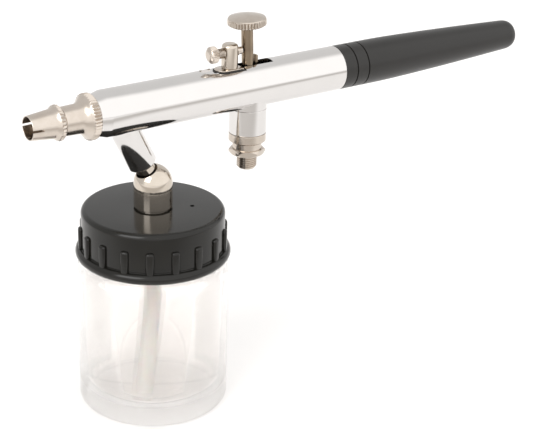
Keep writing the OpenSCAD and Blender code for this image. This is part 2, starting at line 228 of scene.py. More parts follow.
def soften(piece, width, angle=35, segments=2):
    """Bevels every edge sharper than an angle."""
    choose(piece)
    bpy.ops.object.modifier_add(type="BEVEL")
    edge = piece.modifiers[-1]
    edge.width = width
    edge.segments = segments
    edge.limit_method = "ANGLE"
    edge.angle_limit = radians(angle)
    edge.use_clamp_overlap = True
    bpy.ops.object.modifier_apply(modifier=edge.name)


# %% [markdown]
# A knurl is a grip of fine ridges, rolled into a turned band by a hard wheel. The spin is given four
# steps to a ridge. The points at the bottom of each groove are then selected by their angle and
# drawn in towards the axis, and the points beside them less than half as far.


# %% Knurl a band
def pick(piece, wanted):
    """Selects the points whose place passes a test, in edit mode."""
    choose(piece)
    bpy.ops.object.mode_set(mode="EDIT")
    bpy.ops.mesh.select_mode(type="VERT")
    bpy.ops.mesh.select_all(action="DESELECT")
    bpy.ops.object.mode_set(mode="OBJECT")
    for point in piece.data.vertices:
        point.select = bool(wanted(point.co))
    bpy.ops.object.mode_set(mode="EDIT")


def knurl(piece, count, low, high, radius, depth):
    """Presses straight grooves into the outside of a spun band between two heights."""
    for column, share in ((0, 1.0), (1, 0.4), (3, 0.4)):
        def in_groove(place):
            step = round(degrees(atan2(place.y, place.x)) / 360 * 4 * count) % 4
            outside = hypot(place.x, place.y) > radius - 0.02
            return step == column and outside and low <= place.z <= high
        pick(piece, in_groove)
        inwards = (radius - depth * share) / radius
        bpy.ops.transform.resize(value=(inwards, inwards, 1), center_override=(0, 0, 0))
        bpy.ops.object.mode_set(mode="OBJECT")


# %% [markdown]
# A finished piece has its place in its mesh, and its object stays at the origin, unturned and
# unscaled, as the CAD nodes do. One function does the last steps for every piece: it turns the piece
# to its axis, moves and scales it, smooths the faces up to an angle, gives the material, hangs it on
# the empty of the CAD body that carries it, and hides the node it stands for.


# %% Finish a piece
ALONG_GUN = ((0, pi / 2, 0), (0, 0, gun_z))
ALONG_PIN = ((0, -pin_tilt, 0), (0, 0, ball_z))
ALONG_VALVE = ((0, 0, 0), (valve_x, 0, 0))
ALONG_TRIGGER = ((0, radians(-2.5), 0), tuple(trigger_at))
AS_DRAWN = ((0, 0, 0), (0, 0, 0))


def finish_piece(piece, body, material, node_name, place=AS_DRAWN, smooth=32):
    """Puts a piece in its place in metres, parents it to its body and hides its CAD node."""
    choose(piece)
    piece.rotation_euler = place[0]
    piece.location = [v * MM for v in place[1]]
    piece.scale = (MM, MM, MM)
    bpy.ops.object.transform_apply(location=True, rotation=True, scale=True)
    bpy.ops.object.shade_smooth_by_angle(angle=radians(smooth))
    piece.data.materials.clear()
    piece.data.materials.append(material)
    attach(piece, body)
    if node_name:
        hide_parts(node_name)
    piece.data.calc_loop_triangles()
    print(piece.name, "has", len(piece.data.loop_triangles), "triangles")


# %% [markdown]
# ## Finishes
#
# Every finish starts from what the real one is and how its surface was made. Colours are written as
# hex values, as a colour picker gives them, and one function turns them to the linear values that
# the renderer works with. The size of a pattern is written in millimetres, and a second function
# turns it to a noise scale. One more adds a node together with its settings and links.


# %% Colour and node helpers
def colour(hex_value):
    """Linear RGBA from an sRGB hex value."""
    parts = [int(hex_value[i:i + 2], 16) / 255 for i in (1, 3, 5)]
    return [p / 12.92 if p <= 0.04045 else ((p + 0.055) / 1.055) ** 2.4 for p in parts] + [1]


def cells(size_mm):
    """Noise scale, in cells to the metre, for a pattern of a real size."""
    return 1000 / size_mm


def add_node(tree, kind, inputs=None, **settings):
    """Adds a node; an input is a plain value or another node's output."""
    made = tree.nodes.new(kind)
    for name, value in settings.items():
        setattr(made, name, value)
    for name, value in (inputs or {}).items():
        if isinstance(value, bpy.types.NodeSocket):
            tree.links.new(value, made.inputs[name])
        else:
            made.inputs[name].default_value = value
    return made


def new_finish(name):
    """An empty material with its surface shader; returns the material, its tree and the shader."""
    material = bpy.data.materials.new(name)
    material.use_nodes = True
    tree = material.node_tree
    print("new finish:", name)
    return material, tree, tree.nodes["Principled BSDF"]


# %% [markdown]
# **Hard chrome on polished brass.** The body and the sleeves are turned, buffed and plated. Chromium
# is a mirror, but a greyish one that gives back about two thirds of the light. Buffing leaves
# a faint haze in drifts some millimetres across, and hairlines far finer than can be seen here, so
# they are drawn coarser and very weak.

# %% Chrome
chrome, tree, shader = new_finish("hard_chrome")
shader.inputs["Metallic"].default_value = 1.0
place = add_node(tree, "ShaderNodeTexCoord")
haze = add_node(tree, "ShaderNodeTexNoise",
                {"Vector": place.outputs["Object"], "Scale": cells(6.25), "Detail": 3})
tone = add_node(tree, "ShaderNodeMix", {0: haze.outputs["Fac"], 6: colour("#d3d1cf"), 7: colour("#d9d6d4")},
                data_type="RGBA")
gloss = add_node(tree, "ShaderNodeMapRange", {"Value": haze.outputs["Fac"], "To Min": 0.06, "To Max": 0.11})
hairline = (cells(10 / 7), cells(1 / 9), cells(1 / 9))
stretch = add_node(tree, "ShaderNodeMapping", {"Vector": place.outputs["Object"], "Scale": hairline})
hairlines = add_node(tree, "ShaderNodeTexNoise",
                     {"Vector": stretch.outputs["Vector"], "Scale": 1, "Detail": 2})
relief = add_node(tree, "ShaderNodeBump", {"Height": hairlines.outputs["Fac"], "Strength": 0.02,
                                           "Distance": 0.00002})
tree.links.new(tone.outputs[2], shader.inputs["Base Color"])
tree.links.new(gloss.outputs["Result"], shader.inputs["Roughness"])
tree.links.new(relief.outputs["Normal"], shader.inputs["Normal"])
print("chrome mirrors", round(colour("#d6d4d3")[0], 2), "of the light")

# %% [markdown]
# **Satin nickel.** The nozzle caps, the button, the socket and the hose adapter are nickel plated
# over turned brass. Nickel is warmer than chrome, and the lathe tool leaves fine rings round the
# axis, here one every quarter of a millimetre. The rings are the same pattern for each axis: noise
# stretched flat across the axis, so that it changes along the axis alone.


# %% Nickel, along any axis
def nickel_finish(name, along, light, dark, rough, ring_strength):
    """Turned nickel whose rings follow each other along x, y or z."""
    material, tree, shader = new_finish(name)
    shader.inputs["Metallic"].default_value = 1.0
    place = add_node(tree, "ShaderNodeTexCoord")
    ring_mm, across_mm = 0.25, 16.67
    scale = [cells(ring_mm) if axis == along else cells(across_mm) for axis in "xyz"]
    flat = add_node(tree, "ShaderNodeMapping", {"Vector": place.outputs["Object"], "Scale": scale})
    rings = add_node(tree, "ShaderNodeTexNoise", {"Vector": flat.outputs["Vector"], "Scale": 1, "Detail": 3,
                                                  "Roughness": 0.6})
    drift = add_node(tree, "ShaderNodeTexNoise",
                     {"Vector": place.outputs["Object"], "Scale": cells(2.222), "Detail": 4})
    tone = add_node(tree, "ShaderNodeMix", {0: drift.outputs["Fac"], 6: colour(light), 7: colour(dark)},
                    data_type="RGBA")
    blend_in = add_node(tree, "ShaderNodeMath", {0: rings.outputs["Fac"], 1: drift.outputs["Fac"]},
                        operation="MULTIPLY")
    gloss = add_node(tree, "ShaderNodeMapRange", {"Value": blend_in.outputs[0], "From Max": 0.5,
                                                  "To Min": rough * 0.75, "To Max": rough * 1.3})
    relief = add_node(tree, "ShaderNodeBump", {"Height": rings.outputs["Fac"], "Strength": ring_strength,
                                               "Distance": 0.00002})
    tree.links.new(tone.outputs[2], shader.inputs["Base Color"])
    tree.links.new(gloss.outputs["Result"], shader.inputs["Roughness"])
    tree.links.new(relief.outputs["Normal"], shader.inputs["Normal"])
    return material


nickel_x = nickel_finish("satin_nickel_turned_along_gun", "x", "#d0c7be", "#bdb2a6", 0.22, 0.25)
nickel_z = nickel_finish("satin_nickel_turned_upright", "z", "#cdc4ba", "#b7aca0", 0.15, 0.2)
bright_nickel = nickel_finish("bright_nickel", "z", "#cdc4b9", "#bcb2a5", 0.08, 0.08)
# The darker nickel is painted shade: a copy of the nickel darkened for the parts that sit in shade, the
# trigger stem, the limiter screw's thread and the back lever.
nickel_painted_shade = nickel_finish("nickel_darkened_as_painted_shade", "z", "#9a8b77", "#76685a", 0.2, 0.3)
print("made", len([m for m in bpy.data.materials if "nickel" in m.name]), "nickel finishes")

# %% [markdown]
# **Moulded black plastic.** The cap is injection moulded in a polished mould, so its top is glossy
# enough to mirror the metal on it. The colour is a warm black. Flow in the mould gives a slow
# waviness some millimetres long, and handling gives fine specks of a duller surface.

# %% Cap plastic
cap_plastic, tree, shader = new_finish("moulded_black_plastic")
shader.inputs["IOR"].default_value = 1.5
shader.inputs["Specular IOR Level"].default_value = 0.33
place = add_node(tree, "ShaderNodeTexCoord")
flow = add_node(tree, "ShaderNodeTexNoise",
                {"Vector": place.outputs["Object"], "Scale": cells(4.545), "Detail": 2})
specks = add_node(tree, "ShaderNodeTexNoise",
                  {"Vector": place.outputs["Object"], "Scale": cells(0.2857), "Detail": 2})
tone = add_node(tree, "ShaderNodeMix", {0: flow.outputs["Fac"], 6: colour("#12110f"), 7: colour("#191814")},
                data_type="RGBA")
gloss = add_node(tree, "ShaderNodeMapRange", {"Value": specks.outputs["Fac"], "To Min": 0.11, "To Max": 0.2})
relief = add_node(tree, "ShaderNodeBump",
                  {"Height": flow.outputs["Fac"], "Strength": 0.06, "Distance": 0.0001})
tree.links.new(tone.outputs[2], shader.inputs["Base Color"])
tree.links.new(gloss.outputs["Result"], shader.inputs["Roughness"])
tree.links.new(relief.outputs["Normal"], shader.inputs["Normal"])

# %% [markdown]
# **Black satin plastic.** The handle is moulded in a hard plastic with a dull, slightly grainy
# skin. The grain is about a fifth of a millimetre, and handling has polished it in places.

# %% Handle finish
handle_black, tree, shader = new_finish("black_satin_plastic")
shader.inputs["IOR"].default_value = 1.5
shader.inputs["Specular IOR Level"].default_value = 0.4
place = add_node(tree, "ShaderNodeTexCoord")
grain = add_node(tree, "ShaderNodeTexNoise",
                 {"Vector": place.outputs["Object"], "Scale": cells(0.2), "Detail": 2})
wear = add_node(tree, "ShaderNodeTexNoise",
                {"Vector": place.outputs["Object"], "Scale": cells(7.143), "Detail": 4})
tone = add_node(tree, "ShaderNodeMix", {0: wear.outputs["Fac"], 6: colour("#191816"), 7: colour("#211f1d")},
                data_type="RGBA")
gloss = add_node(tree, "ShaderNodeMapRange", {"Value": wear.outputs["Fac"], "To Min": 0.3, "To Max": 0.42})
relief = add_node(tree, "ShaderNodeBump",
                  {"Height": grain.outputs["Fac"], "Strength": 0.12, "Distance": 0.00004})
tree.links.new(tone.outputs[2], shader.inputs["Base Color"])
tree.links.new(gloss.outputs["Result"], shader.inputs["Roughness"])
tree.links.new(relief.outputs["Normal"], shader.inputs["Normal"])

# %% [markdown]
# **Pressed flint glass.** The jar is moulded soda glass with an index of 1.5. Pressed glass is never
# quite even: slow waves a centimetre long bend what is seen through it. Alpha at a half lets half of
# the light straight through, which keeps the walls lighter than bending alone would.

# %% Glass
glass, tree, shader = new_finish("pressed_flint_glass")
shader.inputs["IOR"].default_value = 1.5
shader.inputs["Transmission Weight"].default_value = 1.0
shader.inputs["Alpha"].default_value = 0.5
place = add_node(tree, "ShaderNodeTexCoord")
waves = add_node(tree, "ShaderNodeTexNoise",
                 {"Vector": place.outputs["Object"], "Scale": cells(9.091), "Detail": 1})
tone = add_node(tree, "ShaderNodeMix", {0: waves.outputs["Fac"], 6: colour("#fdf7f4"), 7: colour("#fdfaf6")},
                data_type="RGBA")
gloss = add_node(tree, "ShaderNodeMapRange", {"Value": waves.outputs["Fac"], "To Min": 0.0, "To Max": 0.02})
relief = add_node(tree, "ShaderNodeBump",
                  {"Height": waves.outputs["Fac"], "Strength": 0.12, "Distance": 0.0003})
tree.links.new(tone.outputs[2], shader.inputs["Base Color"])
tree.links.new(gloss.outputs["Result"], shader.inputs["Roughness"])
tree.links.new(relief.outputs["Normal"], shader.inputs["Normal"])

# %% [markdown]
# **Soft and hidden materials.** The dip tube is milky polyethylene, which lets light through and
# scatters it. Inside the gun are white sealing plastic, black rubber, turned brass and ground steel,
# and a foam disc seals the cap. They are simple, but each has its own grain.


# %% Small finishes
def plain_finish(name, light, dark, rough, grain_mm, depth, metallic=0.0, transmission=0.0, subsurface=0.0):
    """A finish with two close colours mixed by a grain of a real size."""
    material, tree, shader = new_finish(name)
    shader.inputs["Metallic"].default_value = metallic
    shader.inputs["Transmission Weight"].default_value = transmission
    shader.inputs["Subsurface Weight"].default_value = subsurface
    shader.inputs["Subsurface Scale"].default_value = 0.001
    place = add_node(tree, "ShaderNodeTexCoord")
    grain = add_node(tree, "ShaderNodeTexNoise", {"Vector": place.outputs["Object"], "Scale": cells(grain_mm),
                                                  "Detail": 3})
    tone = add_node(tree, "ShaderNodeMix", {0: grain.outputs["Fac"], 6: colour(light), 7: colour(dark)},
                    data_type="RGBA")
    gloss = add_node(tree, "ShaderNodeMapRange", {"Value": grain.outputs["Fac"], "To Min": rough * 0.85,
                                                  "To Max": min(1.0, rough * 1.2)})
    relief = add_node(tree, "ShaderNodeBump", {"Height": grain.outputs["Fac"], "Strength": depth,
                                               "Distance": 0.00005})
    tree.links.new(tone.outputs[2], shader.inputs["Base Color"])
    tree.links.new(gloss.outputs["Result"], shader.inputs["Roughness"])
    tree.links.new(relief.outputs["Normal"], shader.inputs["Normal"])
    return material


milky_tube = plain_finish("milky_polyethylene", "#fffefb", "#fbf9f5", 0.35, 2.0, 0.1, transmission=0.55,
                          subsurface=0.3)
white_seal = plain_finish("white_ptfe", "#f2f1ec", "#e6e4dc", 0.45, 0.6, 0.15)
black_rubber = plain_finish("black_nitrile_rubber", "#1c1b1a", "#272524", 0.6, 0.4, 0.3)
turned_brass = plain_finish("turned_brass", "#d9b566", "#c79d4c", 0.22, 0.4, 0.15, metallic=1.0)
ground_steel = plain_finish("ground_steel", "#c9c9ca", "#b5b5b8", 0.2, 0.25, 0.15, metallic=1.0)
liner_foam = plain_finish("sealing_foam", "#e6e2d6", "#d3cdbd", 0.85, 0.5, 0.6)

# %% [markdown]
# ## The jar
#
# The jar is pressed glass with a thick floor, a rounded heel and a short shoulder under the neck.
# It is drawn as one closed outline, down the inside and up the outside, so that the wall has its
# true thickness and light bends in it twice, as it does in the real jar.

# %% Model the jar
jar_high = span("jar")[1]
jar_r, neck_top = jar_high[0], jar_high[2]
inside = [(0, 3.6)] + arc(jar_r - 6.5, 8.1, 4.5, -90, 0, 10)
inside += [(jar_r - 2, 33.5), (jar_r - 2.25, 34.6), (jar_r - 3.6, 36.1), (jar_r - 4.1, 36.8)]
inside += [(jar_r - 4.1, neck_top - 0.5), (jar_r - 3.6, neck_top)]
outside = [(jar_r - 3, neck_top), (jar_r - 2.5, neck_top - 0.5), (jar_r - 2.5, 38.4)]
outside += [(jar_r - 2.2, 37.9)] + arc(jar_r - 1.2, 36.7, 1.2, 80, 0)
outside += arc(jar_r - 1.6, 1.6, 1.6, 0, -90, 8) + [(0, 0)]
jar = spun("glass_jar", inside + outside, 128)
finish_piece(jar, "jar", glass, "jar", smooth=40)

# %% [markdown]
# ## The cap
#
# The cap's skirt widens into a rolled rim at the bottom, and its top edge is well rounded. Round the
# skirt stand ribs for grip, each rounded at the top, and they run down into the rim. The skirt is
# spun first. One rib is then a small block with its edges bevelled, copied round the axis. A fine
# breather hole lets air in as paint goes out.

# %% Spin the cap
cap_low, cap_high = span("jar_cap")
rim_r, cap_foot, cap_top = cap_high[0], cap_low[2], cap_high[2]
skirt_r, bead_r = 17.4, 1.35
profile = [(16.3, cap_foot)] + arc(rim_r - bead_r, cap_foot + bead_r, bead_r, -90, 78, 12)
profile += [(skirt_r + 0.12, cap_foot + 2 * bead_r - 0.06), (skirt_r, cap_foot + 2 * bead_r + 0.06)]
profile += arc(skirt_r - 1.25, cap_top - 1.25, 1.25, 0, 90, 7) + [(6.5, cap_top), (4.4, cap_top)]
profile += [(3.6, cap_top), (3.6, cap_top - 1.6), (16.3, cap_top - 1.6), (16.3, cap_foot)]
cap = spun("screw_cap", profile, 144)
breather_x, breather_y = 8.2, -4.6
combine(cap, rod(0.55, (breather_x, breather_y, cap_top - 4), (breather_x, breather_y, cap_top + 2), 24))
print("cap is", round(2 * rim_r, 1), "mm across its rim")

# %% Add the ribs
rib_half, rib_out = 1.02, 0.75
rib = block((skirt_r - 0.5, -rib_half, cap_foot + 1.4), (skirt_r + rib_out, rib_half, cap_foot + 8.0))
rib.name = "grip_rib"
soften(rib, 0.62, 35, 4)
rib_count, rib_turn = 18, 16.4
ribs = []
for i in range(rib_count):
    copy = rib.copy()
    copy.data = rib.data.copy()
    bpy.context.collection.objects.link(copy)
    copy.rotation_euler[2] = radians(rib_turn + 360 * i / rib_count)
    ribs.append(copy)
bpy.data.objects.remove(rib, do_unlink=True)
choose(cap)
for copy in ribs:
    copy.select_set(True)
bpy.ops.object.join()
finish_piece(cap, "cap", cap_plastic, "jar_cap", smooth=38)

# %% [markdown]
# ## The ball joint
#
# A nickel socket stands on the cap. Its lower half is a plain cylinder with a thin groove at its
# foot, and its upper half a dome that holds the ball. A leaning hole through the dome, a little
# wider than the hollow pin, lets the pin tilt by five degrees. It is cut with a round bar.

# %% Socket base
base = spun("socket_base", [
    (1.5, 44.9), (3.3, 44.9), (3.5, 45.1), (3.5, cap_top + 0.02), (4.2, cap_top + 0.02),
    (4.2, cap_top + 0.38), (4.6, cap_top + 0.38), (4.7, cap_top + 0.48), (4.7, 55.66), (4.68, 55.68),
    (4.14, 55.68), (4.14, 54.4), (3.35, 54.4), (3.35, 52.6), (1.5, 52.6), (1.5, 44.9)], 96)
finish_piece(base, "cap", bright_nickel, "socket_base")

# %% Socket dome
dome_r, cavity_r, hole_r = 4.7, 3.65, 2.75
dome_outline = [(3.4, 54.44), (4.12, 54.44), (4.12, 55.7), (4.7, 55.7), (4.7, 56.4)]
dome_outline += arc(0, ball_z, dome_r, 0, 90, 20)[:-1] + [(0, ball_z + dome_r)]
dome_outline += [(0, ball_z + cavity_r)] + arc(0, ball_z, cavity_r, 84, -17, 20) + [(3.4, 55.4), (3.4, 54.44)]
dome = spun("socket_dome", dome_outline, 96)
pin_end = Vector((-sin(pin_tilt), 0, cos(pin_tilt))) * 10 + Vector((0, 0, ball_z))
combine(dome, rod(hole_r, (0, 0, ball_z), pin_end, 64))
soften(dome, 0.1, 40, 2)
finish_piece(dome, "cap", bright_nickel, "socket_dome")

# %% [markdown]
# The hollow pin has the ball at its foot. It rises through the hole, leaning towards the nozzle, and
# plugs into a chrome sleeve under the body. Both are spun round their own axis and then leaned.

# %% Pin and sleeve
reach = (gun_z - ball_z) / cos(pin_tilt)
ball_r, pin_r, plug_r, bore_r = 3.6, 2.3, 1.9, 1.1
pin_outline = arc(0, 0, ball_r, -72, 50.3, 24)
pin_outline += [(pin_r, 2.9), (pin_r, 8.9), (2.2, 9), (plug_r, 9), (plug_r, reach - 8.8), (1.7, reach - 8.6)]
pin_outline += [(bore_r, reach - 8.6), (bore_r, -3.43)]
pin = spun("ball_pin", pin_outline, 80)
finish_piece(pin, "swivel_pin", bright_nickel, "siphon_pin", ALONG_PIN)
sleeve = spun("siphon_sleeve", [
    (2.35, 6.1), (2.45, 6), (3.0, 6), (3.12, 6.04), (3.42, 6.36), (3.5, 6.5), (3.5, reach - 2.6),
    (1, reach - 2.6), (1, 12), (1.95, 10.4), (1.95, 9.3), (2.35, 9.2), (2.35, 6.1)], 128)
finish_piece(sleeve, "gun", chrome, "siphon_stem", ALONG_PIN)

# %% [markdown]
# ## The dip tube
#
# A soft plastic tube hangs in the jar, bent towards the foot of the wall. A ring is extruded down,
# spun a little way about a far point to make the bend, and extruded again. The wall comes from
# a Solidify modifier, so the tube is hollow as the real one is.

# %% Bend the tube
tube_r, tube_wall, top_length, end_length, bend_r = 2.1, 0.8, 13.3, 14, 45
bpy.ops.object.select_all(action="DESELECT")
bpy.ops.mesh.primitive_circle_add(vertices=40, radius=tube_r, location=(0, 0, 0))
tube = bpy.context.object
tube.name = "dip_tube"
bpy.ops.object.mode_set(mode="EDIT")
bpy.ops.mesh.select_all(action="SELECT")
bpy.ops.transform.translate(value=(0, 0, 49.3))
bpy.ops.mesh.extrude_edges_move(TRANSFORM_OT_translate={"value": (0, 0, -top_length)})
bend = radians(24)
bpy.ops.mesh.spin(steps=16, angle=-bend, center=(-bend_r, 0, 49.3 - top_length), axis=(0, 1, 0))
end_step = (-end_length * sin(bend), 0, -end_length * cos(bend))
bpy.ops.mesh.extrude_edges_move(TRANSFORM_OT_translate={"value": end_step})
tidy_mesh()
choose(tube)
bpy.ops.object.modifier_add(type="SOLIDIFY")
tube.modifiers[-1].thickness = tube_wall
tube.modifiers[-1].offset = -1
bpy.ops.object.modifier_apply(modifier=tube.modifiers[-1].name)
soften(tube, 0.15, 50, 2)
finish_piece(tube, "cap", milky_tube, "siphon_tube", ((0, 0, radians(45)), (0, 0, 0)), 50)
tube_points = [v.co for v in tube.data.vertices]
print("tube ends at", [round(min(p[i] for p in tube_points) / MM, 1) for i in range(3)])

# %% [markdown]
# ## The body
#
# The body is a long chrome tube. It narrows in a short cone to its nose, carries a shallow saddle
# underneath for the air valve, and is milled flat on top for the limiter's post, with a slot behind
# it for the trigger. The tube is spun with many steps, as a mirror shows every facet, and the
# openings are cut afterwards. A few rings along the straight part keep the faces that get cut from
# running its whole length.

# %% Spin and cut the body
body_low, body_high = span("body_shell")
body_r = (body_high[2] - body_low[2]) / 2
tail_x = body_high[0]
shell_outline = [
    (1.3, -18), (4.1, -18), (4.2, -17.9), (4.2, -16.3), (4.75, -16.25), (4.9, -16.1), (5.54, -13.85)]
shell_outline += [(body_r, -13.6), (body_r, -5), (body_r, 10), (body_r, 35), (body_r, 45), (body_r, 52.9)]
shell_outline += [(body_r - 0.15, 53.05), (4.7, 53.05), (4.7, tail_x - 0.2), (4.5, tail_x), (4.05, tail_x)]
shell_outline += [(4.05, 32.6), (2, 32.6), (2, 0), (1, 0), (1, -12.5), (1.3, -12.5), (1.3, -18)]
shell = spun("gun_body", shell_outline, 192)
shell.rotation_euler = ALONG_GUN[0]
shell.location = ALONG_GUN[1]
choose(shell)
bpy.ops.object.transform_apply(location=True, rotation=True, scale=True)
saddle_r, flat_z = 4.63, 81.75
slot_front, slot_back, slot_half = 24.4, 33.1, 1.56
saddle = rod(saddle_r, (valve_x, 0, 71.42), (valve_x, 0, gun_z - 1), 128)
combine(shell, saddle, "UNION")
combine(shell, block((slot_front, -slot_half, 72.9), (slot_back, slot_half, 92)))
combine(shell, rod(3.0, (valve_x, 0, 70), (valve_x, 0, 73), 64))
combine(shell, block((17, -4, flat_z), (24.6, 4, 86)))
combine(shell, rod(1.9, (15, 0, flat_z), (15, 0, 86), 64))
combine(shell, block((15, -1.9, flat_z), (17.1, 1.9, 86)))
soften(shell, 0.07, 50, 1)
finish_piece(shell, "gun", chrome, "body_shell", smooth=24)

# %% [markdown]
# ## The air valve
#
# Under the body hangs the valve: a chrome casing, and screwed into it the nickel hose adapter, with
# a round collar, a waist, a hexagon with chamfered corners for a spanner, and the threaded stud that
# takes the air hose.

# %% Casing
casing = spun("valve_casing", [
    (2.6, 64.93), (4.48, 64.93), (4.63, 65.08), (4.63, 71.25), (4.5, 71.38), (2.98, 71.38), (2.98, 72.8),
    (2, 72.8), (2, 71.6), (1.5, 71.6), (1.5, 70.4), (2.6, 70.4), (2.6, 64.93)], 128)
finish_piece(casing, "gun", chrome, "valve_casing", ALONG_VALVE)

# %% [markdown]
# A screw thread is a ridge that climbs round the stud. Its small three-cornered outline is drawn
# beside the stud, and a Screw modifier winds it up, half a millimetre a turn, which is the standard
# pitch of this 5 mm air thread.


# %% Adapter with its thread
def thread(name, crest_r, root_r, low, high, pitch):
    """A helical ridge round Z with closed ends."""
    half = pitch * 0.44
    ridge = begin(name, (root_r, 0, low - half))
    draw([(root_r, 0, low - half), (crest_r, 0, low - half * 0.2), (crest_r, 0, low + half * 0.2),
          (root_r, 0, low + half), (root_r, 0, low - half)])
    tidy_mesh()
    choose(ridge)
    bpy.ops.object.modifier_add(type="SCREW")
    wind = ridge.modifiers[-1]
    wind.axis = "Z"
    wind.screw_offset = pitch
    wind.iterations = int((high - low) / pitch)
    wind.steps = wind.render_steps = 40
    wind.use_normal_calculate = True
    bpy.ops.object.modifier_apply(modifier=wind.name)
    bpy.ops.object.mode_set(mode="EDIT")
    bpy.ops.mesh.select_all(action="DESELECT")
    bpy.ops.mesh.select_non_manifold()
    bpy.ops.mesh.edge_face_add()
    tidy_mesh()
    return ridge


collar = spun("hose_adapter", [
    (1, 55.5), (2.05, 55.5), (2.26, 55.75), (2.26, 59.2), (3.6, 59.2), (3.6, 62.3), (4.1, 62.66),
    (4.5, 62.8), (4.63, 62.95), (4.63, 64.78), (4.5, 64.9), (2.58, 64.9), (2.58, 65.8), (1.7, 65.8),
    (1.7, 62.5), (1, 62.3), (1, 55.5)], 96)
hexagon = rod(4.62, (0, 0, 59.3), (0, 0, 60.75), 6)
chamfer = spun("chamfer", [
    (0, 59.25), (3.9, 59.25), (4.56, 59.85), (4.56, 60.2), (3.9, 60.78), (0, 60.78)], 96)
combine(hexagon, chamfer, "INTERSECT")
stud_ridge = thread("stud_ridge", 2.5, 2.2, 55.85, 59.1, 0.5)
choose(collar)
for part in (hexagon, stud_ridge):
    part.select_set(True)
bpy.ops.object.join()
finish_piece(collar, "gun", nickel_z, "hose_adapter", ALONG_VALVE)

# %% [markdown]
# ## The nozzle end
#
# In front of the body sits the nozzle cap, flared to a knurled rim, and on it screws the needle cap,
# a thin crown with two slots that guards the needle's tip. A split crown lets air in from the side
# when the tip is held close to the paper.

# %% Nozzle cap
rim_ridges = 40
flare = [(3.55 + 1.45 * (t / 6) ** 2, -20.3 + 2 * t / 6) for t in range(1, 7)]
nozzle_outline = [(0.85, -26.9), (2.7, -26.9), (2.88, -26.6), (2.88, -24.3), (3.38, -24.3), (3.44, -24.2),
                  (3.55, -20.3)] + flare
nozzle_outline += [(5.12, -18.15), (5.5, -17.95), (5.5, -16.62), (5.2, -16.3), (4.22, -16.3), (4.22, -18.3)]
nozzle_outline += [(3.7, -18.3), (2.6, -20.4), (2.2, -24.4), (1.2, -26.2), (0.85, -26.2), (0.85, -26.9)]
nozzle_cap = spun("nozzle_cap", nozzle_outline, 4 * rim_ridges)
knurl(nozzle_cap, rim_ridges, -18, -16.55, 5.5, 0.46)
finish_piece(nozzle_cap, "gun", nickel_x, "head_cap", ALONG_GUN, 28)

# %% Needle cap
ring_ridges = 26
crown = [(3.45 + 0.55 * (t / 5) ** 1.5, -26.9 + 1.0 * t / 5) for t in range(1, 6)]
crown_outline = [(2.62, -32.44), (2.68, -32.5), (2.8, -32.5), (2.86, -32.42), (3.45, -26.9)] + crown
crown_outline += [(4.02, -25.75), (4.2, -25.55), (4.2, -24.9), (3.95, -24.7), (3.6, -24.35), (2.92, -24.35)]
crown_outline += [(2.92, -27.05), (2.3, -27.05), (2.3, -27.3), (2.72, -28), (2.62, -32.44)]
needle_cap = spun("needle_crown", crown_outline, 4 * ring_ridges)
knurl(needle_cap, ring_ridges, -25.6, -24.85, 4.2, 0.44)
combine(needle_cap, block((-0.28, -5, -33.5), (0.28, 5, -29.9)))
finish_piece(needle_cap, "needle_cap", nickel_x, "needle_cap", ALONG_GUN, 28)

# %% [markdown]
# ## Trigger and button
#
# The finger rests on a domed button with a coarse knurl round its rim. The button is screwed on
# a round stem, whose foot is flat and slotted so that the needle can pass through it.

# %% Trigger stem
button_high = span("trigger_button")[1]
stem_top = 19.0
stem = spun("trigger_stem", [
    (0, 2), (1.3, 2), (1.45, 2.15), (1.45, stem_top - 0.25), (1.62, stem_top - 0.05), (1.62, stem_top),
    (0, stem_top)], 64)
combine(stem, block((-1, -0.95, 0.2), (1, 0.95, 3)), "UNION")
combine(stem, rod(1.0, (0, -0.95, 0), (0, 0.95, 0), 48), "UNION")
combine(stem, block((-3, -0.8, 2.2), (3, 0.8, 7.2)))
soften(stem, 0.08, 40, 2)
# The stem's darker nickel is painted shade.
finish_piece(stem, "trigger", nickel_painted_shade, "trigger", ALONG_TRIGGER)

# %% Finger button
button_ridges = 36
rim, rim_h, crown_r = 4.7, 1.9, 14.0
foot = 19.05
crown_z = foot + rim_h - sqrt(crown_r ** 2 - rim ** 2)
button_outline = [(0, foot), (1.9, foot), (3.6, foot), (4.15, foot + 0.05), (rim, foot + 0.35)]
button_outline += [(rim, foot + 1.45), (4.62, foot + 1.8)]
button_outline += [(r, crown_z + sqrt(crown_r ** 2 - r ** 2)) for r in (4.45, 3.6, 2.8, 2, 1.2, 0.5)]
button_outline += [(0, crown_z + crown_r)]
button = spun("finger_button", button_outline, 4 * button_ridges)
knurl(button, button_ridges, foot + 0.2, foot + 1.6, rim, 0.42)
finish_piece(button, "trigger", nickel_z, "trigger_button", ALONG_TRIGGER, 28)
button_top = max(v.co.z for v in button.data.vertices) / MM
print("button top at", round(button_top, 2), "mm, in the CAD at", round(button_high[2], 2))

# %% [markdown]
# ## The limiter
#
# In front of the trigger a post stands on a flat plate. Under the plate lies a thin black strip, a
# little wider than it, which is painted shade for the gap between the plate and the body. A screw
# with a knurled head runs through the post, and its tip stops the trigger, which limits how far the
# needle can be drawn. The screw's own thread is wound up like the hose stud's, with a pitch of 0.35 mm.


# %% Plate and painted shadow strip
def tongue(name, half, front, low, high):
    """A flat strip with a half-round front, from the front to the slot."""
    end_x = 24.2
    bow = [(front + half * (1 - cos(radians(a))), half * sin(radians(a))) for a in range(-90, 91, 10)]
    edge = bow + [(end_x, half), (end_x, -half), bow[0]]
    strip = begin(name, (edge[0][0], edge[0][1], low))
    draw([(x, y, low) for x, y in edge])
    bpy.ops.mesh.select_all(action="SELECT")
    bpy.ops.mesh.edge_face_add()
    bpy.ops.mesh.extrude_region_move(TRANSFORM_OT_translate={"value": (0, 0, high - low)})
    tidy_mesh()
    return strip


leaf_foot = 81.9
